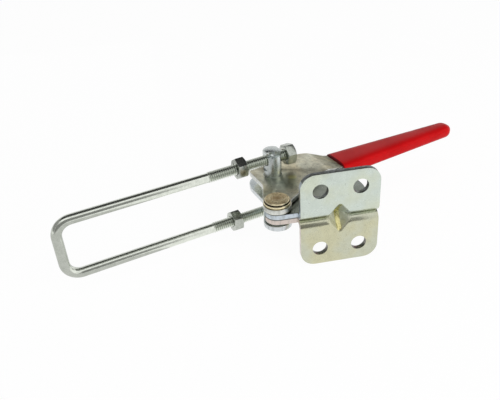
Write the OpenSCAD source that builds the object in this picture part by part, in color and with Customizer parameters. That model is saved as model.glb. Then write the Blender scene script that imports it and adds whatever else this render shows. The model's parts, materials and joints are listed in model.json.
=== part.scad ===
// Latch-type toggle clamp with a U-bolt, a flanged base made of two folded plates,
// and a lever made of two joggled plates that end in a dipped vinyl grip.
// X runs along the clamp towards the grip, Y away from the mounting face, Z across the sheets.
// The origin is the centre of the four mounting holes, on the mounting face.

/* [Base plates] */
// Sheet thickness of each base plate
base_t = 3; // [2.5:0.1:3.5]
// Length of the mounting flange along the clamp
flange_l = 43; // [41:0.5:48]
// Reach of each flange from the joint line of the two plates
flange_w = 27.8; // [26:0.2:32]
// Radius of the flange corners
flange_corner_r = 8; // [4:0.5:9]
// Diameter of the mounting holes
hole_d = 8.5; // [5.5:0.1:9]
// Distance between mounting holes along the clamp
hole_pitch_x = 21.6; // [18:0.2:24]
// Distance between mounting holes across the clamp
hole_pitch_z = 35.6; // [32:0.2:38]
// Outer radius of the fold between web and flange
fold_r = 4.9; // [4:0.1:5.6]
// Reach of the stiffening dart from the fold, on flange and web
dart_reach = 9.2; // [7:0.1:10]
// Width of the stiffening dart at the fold
dart_w = 14; // [10:0.2:16]
// Width of the dart's flat floor at its middle
dart_floor_w = 3.4; // [2:0.1:4]
// Height at which the rear edge of the web starts to lean forward
web_rear_h = 26; // [20:0.5:30]

/* [Pivot] */
// Distance of the pivot ahead of the hole pattern's centre
pivot_ahead = 31; // [29:0.5:36]
// Height of the pivot above the mounting face
pivot_h = 13; // [11:0.2:16]
// Shank diameter of the pivot rivet
pivot_d = 8; // [6:0.1:9]
// Radius of the web around the pivot
web_lobe_r = 6.9; // [6:0.1:8]
// Radius of the lever plates around the pivot
lever_lobe_r = 7.7; // [7:0.1:9]
// Thickness of the washer between web and lever plate
washer_t = 0.65; // [0.5:0.05:1.2]
// Diameter of the washers
washer_d = 13; // [11:0.2:15]
// Diameter of the rivet's set head
rivet_head_d = 13.4; // [12:0.2:16]
// Height of the rivet's set head
rivet_head_h = 1.2; // [1:0.1:2]
// Chamfer round the top of the rivet's set head
rivet_head_edge = 0.5; // [0.3:0.1:0.8]
// Outer diameter of the washer under the rivet's head
head_washer_d = 14.6; // [14:0.2:15.4]
// Thickness of the washer under the rivet's set head
head_washer_t = 1.75; // [1:0.05:2]
// Diameter of the rivet's clenched end
rivet_clench_d = 10.4; // [9.5:0.1:12]
// Height of the rivet's clenched end
rivet_clench_h = 1; // [0.6:0.1:2]

/* [Lever plates] */
// Sheet thickness of each lever plate
lever_t = 3; // [2.4:0.1:3.4]
// Offset of the trunnion behind the pivot, with the lever closed
trunnion_back = 4.6; // [2:0.2:7]
// Height of the trunnion above the pivot, with the lever closed
trunnion_up = 32.7; // [30:0.1:36]
// How far the lever plates reach ahead of the pivot, beside the trunnion
lever_front = 8.1; // [7.5:0.1:11]
// Height above the trunnion at which the lever plates' front edge turns in towards the neck
front_turn_up = 5.8; // [4:0.2:7]
// How far the lever plates reach ahead of the pivot at their neck
neck_front = 3.6; // [3:0.1:6]
// Height of the neck above the pivot
neck_up = 21.5; // [18:0.5:24]
// Distance from the pivot's axis to the straight underside edge that runs past it
underside_in = 4.8; // [3:0.2:6]
// Angle of the underside's rear stretch, up to the grip
underside_angle = 33; // [30:0.5:36]
// Length of the underside's rear stretch
underside_l = 20; // [14:0.5:24]
// Height of the lever plates' back edge above the pivot
lever_back = 53; // [50:0.2:58]
// Angle of the grip to the mounting face, with the lever closed
grip_angle = 15.5; // [10:0.5:20]
// Start of the grip's back edge behind the pivot
grip_behind = 42.9; // [41:0.1:48]
// Start of the grip's back edge above the pivot
grip_above = 54.1; // [53:0.1:60]
// Length over which the lever plates close up to each other
joggle_l = 11; // [9:0.2:13]
// Inner radius of the two bends with which each lever plate closes up
joggle_r = 7; // [2:0.5:9]

/* [Grip] */
// Length of the vinyl grip
grip_l = 94; // [80:1:110]
// Depth of the grip at its open end
grip_root_w = 20.4; // [19:0.2:24]
// Depth of the grip near its tip
grip_tip_w = 11.2; // [9:0.2:13]
// Wall thickness of the vinyl
vinyl_t = 1.5; // [1:0.1:2]
// Length of the grip's rounded tip
grip_tip_l = 6; // [4:0.5:10]

/* [Trunnion] */
// Diameter of the trunnion pin
trunnion_d = 10.6; // [9:0.1:11.5]
// Length of the trunnion pin
trunnion_l = 44.4; // [43:0.2:50]
// Diameter of the cross holes for the U-bolt
cross_hole_d = 6.6; // [6.4:0.1:7.4]
// Diameter of the spot faces round the cross holes
spot_d = 13; // [10:0.1:14]
// Distance from the trunnion's axis to its spot faces
spot_seat = 4.3; // [3.8:0.1:4.6]
// Length of the flat at each end of the trunnion pin
stake_l = 3; // [2:0.1:4]
// Distance from the trunnion's axis to the flat at each end
stake_seat = 2.8; // [2:0.1:4]
// Diameter of the punch mark on each flat
punch_d = 2.6; // [1:0.1:2.8]

/* [U-bolt] */
// Outer diameter of the thread on the U-bolt's legs
thread_d = 6; // [5:0.1:6.2]
// Diameter of the plain rod
rod_d = 5.5; // [4.5:0.1:6]
// Distance between the centre lines of the two legs
leg_pitch = 33.2; // [32:0.1:36]
// Distance from the trunnion's axis to the centre line of the end bar
loop_l = 124.9; // [90:1:160]
// Centre line radius of the two bends
bend_r = 8.5; // [7:0.5:14]
// Distance from the trunnion's axis to the start of the thread
thread_reach = 41; // [36:1:60]
// Length of each leg that stands out behind the trunnion's axis
leg_tail = 14; // [13.5:0.5:24]
// Angle of the U-bolt below the mounting direction
loop_angle = 17.6; // [0:0.2:30]

/* [Nuts] */
// Width across the flats of the nuts
nut_af = 10; // [8:0.1:10.4]
// Height of the nuts
nut_h = 5; // [4:0.1:6]
// Distance from the trunnion's axis to the middle of the front nut, upper leg
front_nut_upper_at = 20.6; // [12:0.2:30]
// Distance from the trunnion's axis to the middle of the front nut, lower leg
front_nut_lower_at = 26; // [12:0.2:30]
// Distance from the trunnion's axis to the middle of each rear nut
rear_nut_at = 10.4; // [8.5:0.1:11]
// Turn of the front nuts on their thread
front_nut_turn = -26; // [-30:1:30]
// Turn of the rear nuts on their thread
rear_nut_turn = 16; // [-30:1:30]

/* [Hidden] */
$fn = 64;

// Clearances
face_gap = 0.05;      // between flat faces that slide on each other
turn_gap = 0.05;      // radial, round a pin that turns
rivet_fit = 0.02;     // radial, round the rivet where it is held
stop_gap = 0.35;      // between the closed lever and the web that stops it
vinyl_fit = 0.02;     // between the vinyl and the plates inside it
reach = 200;          // longer than any cut needs to be
through = 1;          // how far a drilled hole's cut runs past each face
steel_edge = 0.4;     // chamfer on turned pieces
washer_edge = 0.1;    // chamfer on the washers
nut_chamfer = 30;     // angle of the chamfer on the nuts' corners
joggle_lead = 0.6;    // straight stretch of the lever plates between their last bend and the grip
arc_fn = 180;         // facets of a fillet's circle

// Fillets in the plates' outlines
web_rear_r = 20;
web_stop_r = 1;
web_crest_r = 6;
lever_head_r = 11;
lever_bulge_r = 8;
lever_neck_r = 14;
lever_shoulder_r = 45;
lever_back_r = 6;

// Levels of the stack along the pivot, from the joint line outwards
washer_z = base_t + face_gap / 2;
lever_in_z = base_t + washer_t + face_gap;
lever_out_z = lever_in_z + lever_t;
head_washer_z = lever_out_z + face_gap;
rivet_head_z = head_washer_z + head_washer_t + face_gap;
rivet_top_z = rivet_head_z + rivet_head_h;
rivet_clench_z = -lever_out_z - face_gap;

// Places
pivot = [-pivot_ahead, pivot_h];
trunnion = pivot + [trunnion_back, trunnion_up];
grip_root = pivot + [grip_behind, grip_above];
along_grip = [cos(grip_angle), sin(grip_angle)];
below_grip = [sin(grip_angle), -cos(grip_angle)];
function grip_point(along, below) = grip_root + along * along_grip + below * below_grip;

// Depth of the grip at a distance from its open end: an even taper
function grip_depth(along) = grip_root_w + (grip_tip_w - grip_root_w) * along / grip_l;

// Angle at which the lever's plates close up ahead of the grip, and the run that each bend takes
joggle_angle = atan2(lever_in_z, joggle_l);
joggle_out_r = joggle_r + lever_t;
joggle_run = joggle_out_r * tan(joggle_angle / 2);

// Where the lever's underside meets the grip, and where its two straight stretches cross
plate_root = grip_point(0, grip_depth(0) - vinyl_t);
underside_dir = [cos(underside_angle), sin(underside_angle)];
shoulder = plate_root - underside_l * underside_dir;

// Geometry helpers

function unit(v) = v / norm(v);
function left_of(v) = [-v[1], v[0]];
function turn(a, b, c) = cross(b - a, c - b);
function xy(p) = [p[0], p[1]];

// Half of the corner's outer angle fixes how far a fillet's tangent points lie from the corner
function corner_setback(a, b, c, r) =
    let (u = unit(a - b), v = unit(c - b), half = acos(max(-1, min(1, u * v))) / 2)
    r / tan(half);
function corner_points(a, b, c, r) =
    r == 0 ? [b] : let (d = corner_setback(a, b, c, r)) [b + d * unit(a - b), b + d * unit(c - b)];
function corner_centre(a, b, c, r) =
    let (u = unit(a - b), v = unit(c - b), half = acos(max(-1, min(1, u * v))) / 2)
    b + r / sin(half) * unit(u + v);

// Outline through corners [x, y, fillet radius], listed anticlockwise, with true arcs
module rounded_outline(corners) {
    n = len(corners);
    before = [for (i = [0 : n - 1]) xy(corners[(i + n - 1) % n])];
    here = [for (i = [0 : n - 1]) xy(corners[i])];
    after = [for (i = [0 : n - 1]) xy(corners[(i + 1) % n])];
    radius = [for (i = [0 : n - 1]) corners[i][2]];
    hollow = [for (i = [0 : n - 1]) turn(before[i], here[i], after[i]) < 0];
    difference() {
        union() {
            polygon([for (i = [0 : n - 1]) each corner_points(before[i], here[i], after[i], radius[i])]);
            for (i = [0 : n - 1]) if (radius[i] > 0 && !hollow[i])
                corner_segment(before[i], here[i], after[i], radius[i]);
        }
        for (i = [0 : n - 1]) if (radius[i] > 0 && hollow[i])
            corner_segment(before[i], here[i], after[i], radius[i]);
    }
}
// Part of a fillet's circle between its chord and the corner
module corner_segment(a, b, c, r) {
    ends = corner_points(a, b, c, r);
    intersection() {
        polygon([ends[0], b, ends[1]]);
        translate(corner_centre(a, b, c, r)) circle(r, $fn = arc_fn);
    }
}

// Point where a line from p touches a circle, on the left (side 1) or right (side -1) as seen from p
function touch_point(centre, r, p, side) =
    let (d = centre - p, l = norm(d), a = acos(r / l))
    centre - r * (cos(a) * unit(d) + side * sin(a) * -left_of(unit(d)));

// Ring with broken outer edges, standing on z = 0
module ring(d, bore, h, edge) {
    rotate_extrude()
        polygon([[bore / 2, 0], [d / 2 - edge, 0], [d / 2, edge],
                 [d / 2, h - edge], [d / 2 - edge, h], [bore / 2, h]]);
}

// Base plates

// Plan of the web: folds into the flange, carries the pivot ahead of it and stops the lever behind
module web_outline() {
    half = flange_l / 2;
    foot = pivot[1] - web_lobe_r;
    below = stop_gap * [sin(underside_angle), -cos(underside_angle)];
    stop = plate_root + below;
    crest = plate_root - (joggle_l + 2 * joggle_run + joggle_lead + base_t) * underside_dir + below;
    crest_front = [trunnion[0] + trunnion_d, crest[1]];
    lobe_top = touch_point(pivot, web_lobe_r, crest_front, -1);
    rounded_outline([
        [pivot[0], foot, 0], [-half, foot, 0], [-half, fold_r, 0], [half, fold_r, 0],
        [half, web_rear_h, web_rear_r], [stop[0], stop[1], web_stop_r], [crest[0], crest[1], web_stop_r],
        [crest_front[0], crest_front[1], web_crest_r], [lobe_top[0], lobe_top[1], 0],
        [pivot[0], pivot[1], 0]]);
    translate(pivot) circle(web_lobe_r);
}

// Plan of the flange, X against Z, from the end of the fold to the rounded outer corners
module flange_outline() {
    half = flange_l / 2;
    rounded_outline([[-half, fold_r, 0], [half, fold_r, 0],
                     [half, flange_w, flange_corner_r], [-half, flange_w, flange_corner_r]]);
}

// Dart pressed into the fold: a hollow outside and a ridge inside, with two flanks and a
// leaf-shaped floor that runs at 45 degrees from the flange to the web
module dart_wedge(corner, reach_out) {
    half_w = dart_w / 2;
    half_floor = dart_floor_w / 2;
    middle = (corner + reach_out) / 2;
    polyhedron(
        points = [[-half_w, corner, corner], [half_w, corner, corner],
                  [0, corner, reach_out], [0, reach_out, corner],
                  [-half_floor, middle, middle], [half_floor, middle, middle]],
        faces = [[0, 2, 1], [0, 1, 3], [0, 3, 4], [0, 4, 2], [1, 2, 5], [1, 5, 3], [2, 4, 3, 5]]);
}

module base_plate() {
    ridge_reach = dart_reach + base_t * (sqrt(2) - 1);
    difference() {
        union() {
            linear_extrude(base_t) web_outline();
            rotate([90, 0, 0]) mirror([0, 0, 1]) linear_extrude(base_t) flange_outline();
            translate([-flange_l / 2, fold_r, fold_r]) rotate([0, 90, 0])
                linear_extrude(flange_l) intersection() {
                    difference() {
                        circle(fold_r);
                        circle(fold_r - base_t);
                    }
                    translate([0, -fold_r]) square(fold_r);
                }
            dart_wedge(base_t - face_gap, ridge_reach);
        }
        dart_wedge(-face_gap, dart_reach);
        translate([pivot[0], pivot[1], -through])
            cylinder(d = pivot_d + 2 * rivet_fit, h = base_t + 2 * through);
        for (side = [-1, 1])
            translate([side * hole_pitch_x / 2, -through, hole_pitch_z / 2])
                rotate([-90, 0, 0]) cylinder(d = hole_d, h = base_t + 2 * through);
    }
}

module base_plate_upper() { color("lightgrey") base_plate(); }
module base_plate_lower() { color("lightgrey") mirror([0, 0, 1]) base_plate(); }

// Pivot

module pivot_place() { translate([pivot[0], pivot[1], 0]) children(); }

module pivot_rivet() {
    head_r = rivet_head_d / 2;
    clench_r = rivet_clench_d / 2;
    color("peru") pivot_place() rotate_extrude() polygon([
        [0, rivet_clench_z - rivet_clench_h], [clench_r - rivet_clench_h, rivet_clench_z - rivet_clench_h],
        [clench_r, rivet_clench_z - steel_edge], [clench_r, rivet_clench_z],
        [pivot_d / 2, rivet_clench_z], [pivot_d / 2, rivet_head_z],
        [head_r - steel_edge, rivet_head_z], [head_r, rivet_head_z + steel_edge],
        [head_r, rivet_top_z - rivet_head_edge], [head_r - rivet_head_edge, rivet_top_z], [0, rivet_top_z]]);
}
module head_washer() {
    color("burlywood") pivot_place() translate([0, 0, head_washer_z])
        ring(head_washer_d, pivot_d + 2 * rivet_fit, head_washer_t, steel_edge);
}
module pivot_washer() {
    pivot_place() translate([0, 0, washer_z])
        ring(washer_d, pivot_d + 2 * turn_gap, washer_t, washer_edge);
}
module pivot_washer_upper() { color("silver") pivot_washer(); }
module pivot_washer_lower() { color("silver") mirror([0, 0, 1]) pivot_washer(); }

// Lever

// Point on the lever plates' lower edge, inside the vinyl
function bar_low(along) = grip_point(along, grip_depth(along) - vinyl_t);

// Plan of both lever plates: pivot eye, neck, head round the trunnion, and the bar inside the grip
module lever_outline() {
    bar_end = grip_l - vinyl_t;
    bar_tip_r = (grip_tip_w - 2 * vinyl_t) / 2 - steel_edge;
    neck = pivot + [-neck_front, neck_up];
    eye_low = touch_point(pivot, underside_in, shoulder, 1);
    eye_front = touch_point(pivot, lever_lobe_r, neck, -1);
    tip_low = bar_low(bar_end);
    tip_high = grip_point(bar_end, vinyl_t);
    back_start = grip_point(0, vinyl_t);
    back_rise = back_start[1] - pivot[1] - lever_back;
    back_bend = back_start - back_rise / sin(grip_angle) * along_grip;
    front = pivot[0] - lever_front;
    difference() {
        union() {
            rounded_outline(
                [concat(eye_low, 0), concat(shoulder, lever_shoulder_r), concat(plate_root, 0),
                 concat(tip_low, bar_tip_r), concat(tip_high, bar_tip_r), concat(back_bend, lever_back_r),
                 [front, pivot[1] + lever_back, lever_head_r], [front, trunnion[1] + front_turn_up, lever_bulge_r],
                 concat(neck, lever_neck_r), concat(eye_front, 0)]);
            translate(pivot) circle(lever_lobe_r);
        }
        translate(pivot) circle(d = pivot_d + 2 * turn_gap);
        translate(trunnion) circle(d = trunnion_d + 2 * turn_gap);
    }
}

// Space beside a lever sheet: a side profile, along the grip against Z, drawn out across the sheet
module joggle_space(corners) {
    translate([grip_root[0], grip_root[1], 0]) rotate([90, 0, grip_angle])
        linear_extrude(reach, center = true) rounded_outline(corners);
}
// One lever sheet: apart from its twin round the web, bent inwards to touch it inside the grip
module lever_plate() {
    low = -joggle_run - joggle_lead;
    high = low - joggle_l;
    shift = lever_t * tan(joggle_angle / 2);
    spare = lever_t;
    difference() {
        translate([0, 0, -spare]) linear_extrude(lever_out_z + 2 * spare) lever_outline();
        joggle_space([
            [-reach, -reach, 0], [reach, -reach, 0], [reach, 0, 0],
            [low, 0, joggle_out_r], [high, lever_in_z, joggle_r], [-reach, lever_in_z, 0]]);
        joggle_space([
            [reach, lever_t, 0], [reach, reach, 0], [-reach, reach, 0], [-reach, lever_out_z, 0],
            [high + shift, lever_out_z, joggle_out_r], [low + shift, lever_t, joggle_r]]);
    }
}
module lever_plate_upper() { color("gainsboro") lever_plate(); }
module lever_plate_lower() { color("gainsboro") mirror([0, 0, 1]) lever_plate(); }

// Grip: a loft of rounded sections that narrows along a curve and closes in a round tip

grip_sides = 24;       // corners of each section
grip_root_power = 5;   // power of the section at the open end: 2 is an ellipse, more is squarer
grip_tip_power = 2.5;  // power of the section at the tip
grip_spans = 10;       // spans between sections along the straight stretch
tip_turn = 20;         // angle between sections round the tip
tip_flat = 0.05;       // share of the section left as a flat at the very tip
grip_body_l = grip_l - grip_tip_l;
// Each station is a distance from the open end and the size of its section there
grip_stations = concat([for (step = [0 : grip_spans]) [grip_body_l * step / grip_spans, 1]],
                       [for (a = [tip_turn : tip_turn : 90 - tip_turn / 2])
                           [grip_body_l + grip_tip_l * sin(a), cos(a)]],
                       [[grip_l, tip_flat]]);
function rounded(v, power) = sign(v) * pow(abs(v), 2 / power);
function grip_power(along) = grip_root_power + (grip_tip_power - grip_root_power) * along / grip_l;
function grip_ring(along, size) =
    let (half_depth = grip_depth(along) / 2, half_t = lever_t + vinyl_t, power = grip_power(along))
    [for (i = [0 : grip_sides - 1])
        let (a = 360 * (i + 0.5) / grip_sides,
             p = grip_point(along, half_depth * (1 + size * rounded(cos(a), power))))
        [p[0], p[1], half_t * size * rounded(sin(a), power)]];
module grip_skin() {
    rings = len(grip_stations);
    points = [for (s = grip_stations) each grip_ring(s[0], s[1])];
    sides = [for (r = [0 : rings - 2], i = [0 : grip_sides - 1])
        let (j = (i + 1) % grip_sides, a = r * grip_sides, b = a + grip_sides)
        [a + i, a + j, b + j, b + i]];
    root_cap = [for (i = [grip_sides - 1 : -1 : 0]) i];
    tip_cap = [for (i = [0 : grip_sides - 1]) (rings - 1) * grip_sides + i];
    polyhedron(points, concat(sides, [root_cap, tip_cap]));
}
module grip() {
    inner_t = lever_t + vinyl_fit;
    color("crimson") difference() {
        grip_skin();
        translate([0, 0, -inner_t]) linear_extrude(2 * inner_t) lever_outline();
    }
}

// Trunnion and U-bolt, in a frame with X along the U-bolt and its origin on the trunnion's axis

module loop_place() { translate([trunnion[0], trunnion[1], 0]) rotate([0, 0, 180 + loop_angle]) children(); }

module trunnion_pin() {
    color("silver") difference() {
        loop_place() difference() {
            translate([0, 0, -trunnion_l / 2]) ring(trunnion_d, 0, trunnion_l, steel_edge);
            for (side = [-1, 1]) translate([0, 0, side * leg_pitch / 2]) rotate([0, 90, 0]) {
                translate([0, 0, -reach / 2]) cylinder(d = cross_hole_d, h = reach);
                translate([0, 0, spot_seat]) cylinder(d = spot_d, h = reach);
                mirror([0, 0, 1]) translate([0, 0, spot_seat]) cylinder(d = spot_d, h = reach);
            }
        }
        for (side = [0, 1])
            mirror([0, 0, side]) translate([trunnion[0], trunnion[1], trunnion_l / 2 - stake_l]) {
                translate([-reach / 2, -reach - stake_seat, 0]) cube(reach);
                translate([0, -stake_seat, stake_l / 2]) rotate([-90, 0, 0])
                    cylinder(d1 = punch_d, d2 = 0, h = punch_d / 2);
            }
    }
}

// Half of the U-bolt, from the chamfered end of a threaded leg round its bend to the middle of the end bar
module loop_half() {
    z = leg_pitch / 2;
    straight = loop_l - bend_r;
    runout = (thread_d - rod_d) / 2;
    translate([0, 0, z]) rotate([0, 90, 0]) rotate_extrude() polygon([
        [0, -leg_tail], [thread_d / 2 - steel_edge, -leg_tail], [thread_d / 2, -leg_tail + steel_edge],
        [thread_d / 2, thread_reach - runout], [rod_d / 2, thread_reach],
        [rod_d / 2, straight], [0, straight]]);
    translate([straight, 0, z - bend_r]) rotate([90, 0, 0]) rotate_extrude(angle = 90)
        translate([bend_r, 0]) circle(d = rod_d);
    translate([loop_l, 0, 0]) cylinder(d = rod_d, h = z - bend_r);
}
module u_bolt() {
    color("silver") loop_place() {
        loop_half();
        mirror([0, 0, 1]) loop_half();
    }
}

// Hexagon nut with both faces chamfered, its bore along X
module nut(at, side, turned) {
    corner_d = nut_af / cos(30);
    slope = tan(nut_chamfer);
    spare = nut_h / 5;
    color("silver") loop_place() translate([at, 0, side * leg_pitch / 2]) rotate([0, 90, 0])
        difference() {
            rotate(30 + turned) cylinder(d = corner_d, h = nut_h, center = true, $fn = 6);
            for (end = [0, 1]) mirror([0, 0, end]) translate([0, 0, -nut_h / 2]) rotate_extrude()
                polygon([[nut_af / 2 - spare / slope, -spare], [corner_d, -spare],
                         [corner_d, (corner_d - nut_af / 2) * slope]]);
            cylinder(d = thread_d + 2 * turn_gap, h = 2 * nut_h, center = true);
        }
}
module front_nut_upper() { nut(front_nut_upper_at, 1, front_nut_turn); }
module front_nut_lower() { nut(front_nut_lower_at, -1, front_nut_turn); }
module rear_nut_upper() { nut(-rear_nut_at, 1, rear_nut_turn); }
module rear_nut_lower() { nut(-rear_nut_at, -1, rear_nut_turn); }

base_plate_upper();
base_plate_lower();
pivot_rivet();
head_washer();
pivot_washer_upper();
pivot_washer_lower();
lever_plate_upper();
lever_plate_lower();
grip();
trunnion_pin();
u_bolt();
front_nut_upper();
front_nut_lower();
rear_nut_upper();
rear_nut_lower();
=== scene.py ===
# %% [markdown]
# # A latch toggle clamp, dressed for a catalogue picture
# The clamp arrives as plain solids: two folded base plates, two lever plates, a grip, a
# cross pin, a U-bolt and its nuts. This lesson keeps every piece where it is and gives it
# what the eye expects: broken edges, a rolled thread, a dipped grip and worn zinc.

import json
import math

import bmesh
import bpy
from mathutils import Matrix, Vector


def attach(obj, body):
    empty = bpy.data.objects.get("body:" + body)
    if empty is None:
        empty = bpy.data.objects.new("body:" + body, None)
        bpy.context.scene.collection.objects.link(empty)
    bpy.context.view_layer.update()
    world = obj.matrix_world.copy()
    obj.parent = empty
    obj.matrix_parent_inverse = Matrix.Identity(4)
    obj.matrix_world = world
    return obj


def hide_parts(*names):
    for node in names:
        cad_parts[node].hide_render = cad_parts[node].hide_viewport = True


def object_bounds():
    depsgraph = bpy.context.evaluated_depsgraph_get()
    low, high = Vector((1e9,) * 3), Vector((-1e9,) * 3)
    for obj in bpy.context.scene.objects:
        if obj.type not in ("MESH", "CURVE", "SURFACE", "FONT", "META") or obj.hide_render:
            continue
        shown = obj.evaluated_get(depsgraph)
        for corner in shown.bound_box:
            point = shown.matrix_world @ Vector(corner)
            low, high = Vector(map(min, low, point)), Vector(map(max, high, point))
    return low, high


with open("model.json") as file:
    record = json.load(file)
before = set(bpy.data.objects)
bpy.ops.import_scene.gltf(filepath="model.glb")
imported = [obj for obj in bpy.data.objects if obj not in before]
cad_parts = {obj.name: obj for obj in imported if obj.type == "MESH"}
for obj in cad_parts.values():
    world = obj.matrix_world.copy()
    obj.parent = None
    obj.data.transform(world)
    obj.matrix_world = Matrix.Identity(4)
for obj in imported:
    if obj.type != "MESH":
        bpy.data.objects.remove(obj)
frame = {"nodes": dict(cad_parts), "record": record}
cad_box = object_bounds()
MM = 0.001
print("solids:", ", ".join(frame["nodes"]))

# %% [markdown]
# ## The camera
# A picture can only be compared with the photograph if both are taken from one place. The
# lens and the direction were found by matching the hole pattern and the U-bolt, so they are
# typed in as angles. The small roll is why the clamp seems to lean. A look-at constraint
# would lose that roll, so the three axes of the camera are built by hand.

# %% Camera
FRAME_WIDTH_PX = 500
FOCAL_PX = 567.28
CAMERA_AT = Vector((-81.46, -240.61, 166.58)) * MM
CAMERA_AZIMUTH, CAMERA_ELEVATION, CAMERA_ROLL = map(math.radians, (-8.06, 31.27, -4.02))


def camera_axes(azimuth, elevation, roll):
    back = Vector((math.sin(azimuth) * math.cos(elevation),
                   -math.cos(azimuth) * math.cos(elevation), math.sin(elevation)))
    level = Vector((0, 0, 1)).cross(back).normalized()
    upright = back.cross(level)
    right = level * math.cos(roll) + upright * math.sin(roll)
    up = upright * math.cos(roll) - level * math.sin(roll)
    return Matrix((right, up, back)).transposed()


lens = bpy.data.cameras.new("catalogue_lens")
lens.sensor_width = 36
lens.lens = lens.sensor_width * FOCAL_PX / FRAME_WIDTH_PX
lens.clip_start = 0.01
camera = bpy.data.objects.new("catalogue_camera", lens)
bpy.context.collection.objects.link(camera)
camera.matrix_world = (Matrix.Translation(CAMERA_AT)
                       @ camera_axes(CAMERA_AZIMUTH, CAMERA_ELEVATION, CAMERA_ROLL).to_4x4())
bpy.context.scene.camera = camera
bpy.context.scene.view_settings.view_transform = "Standard"
print(f"camera: {lens.lens:.1f} mm lens")

# %% [markdown]
# ## Writing shaders as sums
# A finish is mostly arithmetic on noise: speckle times patchiness, one minus a mask. Wiring
# that by hand hides the idea, so one small class wraps a socket and lets Python's own
# operators add the Math nodes. Every other node comes from a single method that sets the
# node's options first and its sockets second. The same two classes serve materials, the
# world and Geometry Nodes.


# %% Node helpers
class Wire:
    """A node's output that can be added, multiplied and so on."""

    def __init__(self, graph, socket):
        self.graph = graph
        self.socket = socket

    def maths(self, operation, *others):
        return self.graph.maths(operation, self, *others)

    def __add__(self, other):
        return self.maths("ADD", other)

    def __sub__(self, other):
        return self.maths("SUBTRACT", other)

    def __rsub__(self, other):
        return self.graph.maths("SUBTRACT", other, self)

    def __mul__(self, other):
        return self.maths("MULTIPLY", other)

    def __truediv__(self, other):
        return self.maths("DIVIDE", other)

    __radd__ = __add__
    __rmul__ = __mul__

    def step(self, low, high):
        """Runs from 0 at low to 1 at high, smoothly, and stays there."""
        return self.graph.node("ShaderNodeMapRange", {"interpolation_type": "SMOOTHSTEP"},
                               {"Value": self, "From Min": low, "From Max": high})


class Graph:
    """A node tree under construction."""

    def __init__(self, tree):
        self.tree = tree

    def node(self, kind, settings, inputs, output=0):
        made = self.tree.nodes.new(kind)
        for name, value in settings.items():
            setattr(made, name, value)
        for key, value in inputs.items():
            self.feed(made.inputs[key], value)
        return Wire(self, made.outputs[output])

    def feed(self, socket, value):
        """Links a wire, or each wire of a list, to a socket, or sets the socket to a number."""
        for item in value if isinstance(value, list) else [value]:
            if isinstance(item, Wire):
                self.tree.links.new(item.socket, socket)
            else:
                socket.default_value = item

    def maths(self, operation, *values):
        return self.node("ShaderNodeMath", {"operation": operation}, dict(enumerate(values)))


class Finish(Graph):
    """A node material whose last node is a Principled shader."""

    def __init__(self, name, **constants):
        self.material = bpy.data.materials.new(name)
        self.material.use_nodes = True
        super().__init__(self.material.node_tree)
        self.shader = self.tree.nodes["Principled BSDF"]
        self.drive(**constants)
        self.place = self.node("ShaderNodeTexCoord", {}, {}, "Object")

    def drive(self, **sockets):
        for name, value in sockets.items():
            self.feed(self.shader.inputs[name.replace("_", " ")], value)

    def noise(self, grain, detail=2, roughness=0.5, place=None):
        """Noise whose grains are about so many metres across."""
        return self.node("ShaderNodeTexNoise", {}, {
            "Vector": place or self.place, "Scale": 1 / grain,
            "Detail": detail, "Roughness": roughness})

    def turned(self, rotation, scale):
        """Object coordinates turned and stretched, for a pattern with a direction."""
        level = self.node("ShaderNodeMapping", {"vector_type": "TEXTURE"},
                          {"Vector": self.place, "Rotation": rotation})
        return self.node("ShaderNodeMapping", {"vector_type": "POINT"},
                         {"Vector": level, "Scale": scale})

    def part_of_place(self, axis):
        return self.node("ShaderNodeSeparateXYZ", {}, {0: self.place}, axis)

    def vectors(self, operation, first, second, output=0):
        return self.node("ShaderNodeVectorMath", {"operation": operation},
                         {0: first, 1: second}, output)

    def distance_to(self, spot):
        return self.vectors("DISTANCE", self.place, spot, "Value")

    def along(self, start, direction):
        """How far a point lies from a start, measured along a direction."""
        away = self.vectors("SUBTRACT", self.place, start)
        return self.vectors("DOT_PRODUCT", away, direction, "Value")

    def linked(self, name):
        """What feeds one of the shader's inputs now."""
        return Wire(self, self.shader.inputs[name].links[0].from_socket)

    def blend(self, share, first, second):
        """Colour that goes from first to second as share goes from 0 to 1."""
        return self.node("ShaderNodeMix", {"data_type": "RGBA"},
                         {0: share, 6: first, 7: second}, 2)

    def mask(self, name):
        """A number that was stored on the mesh."""
        return self.node("ShaderNodeAttribute", {"attribute_name": name}, {}, "Fac")

    def relief(self, height, depth):
        """Bump from a height, where 1 stands for so many metres."""
        self.drive(Normal=self.node("ShaderNodeBump", {}, {"Height": height, "Distance": depth}))


def tone(red, green, blue):
    """A colour as a picture editor shows it, made linear for the renderer."""
    def linear(share):
        return share / 12.92 if share <= 0.04045 else ((share + 0.055) / 1.055) ** 2.4
    return (linear(red / 255), linear(green / 255), linear(blue / 255), 1)


print("node helpers ready")
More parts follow.
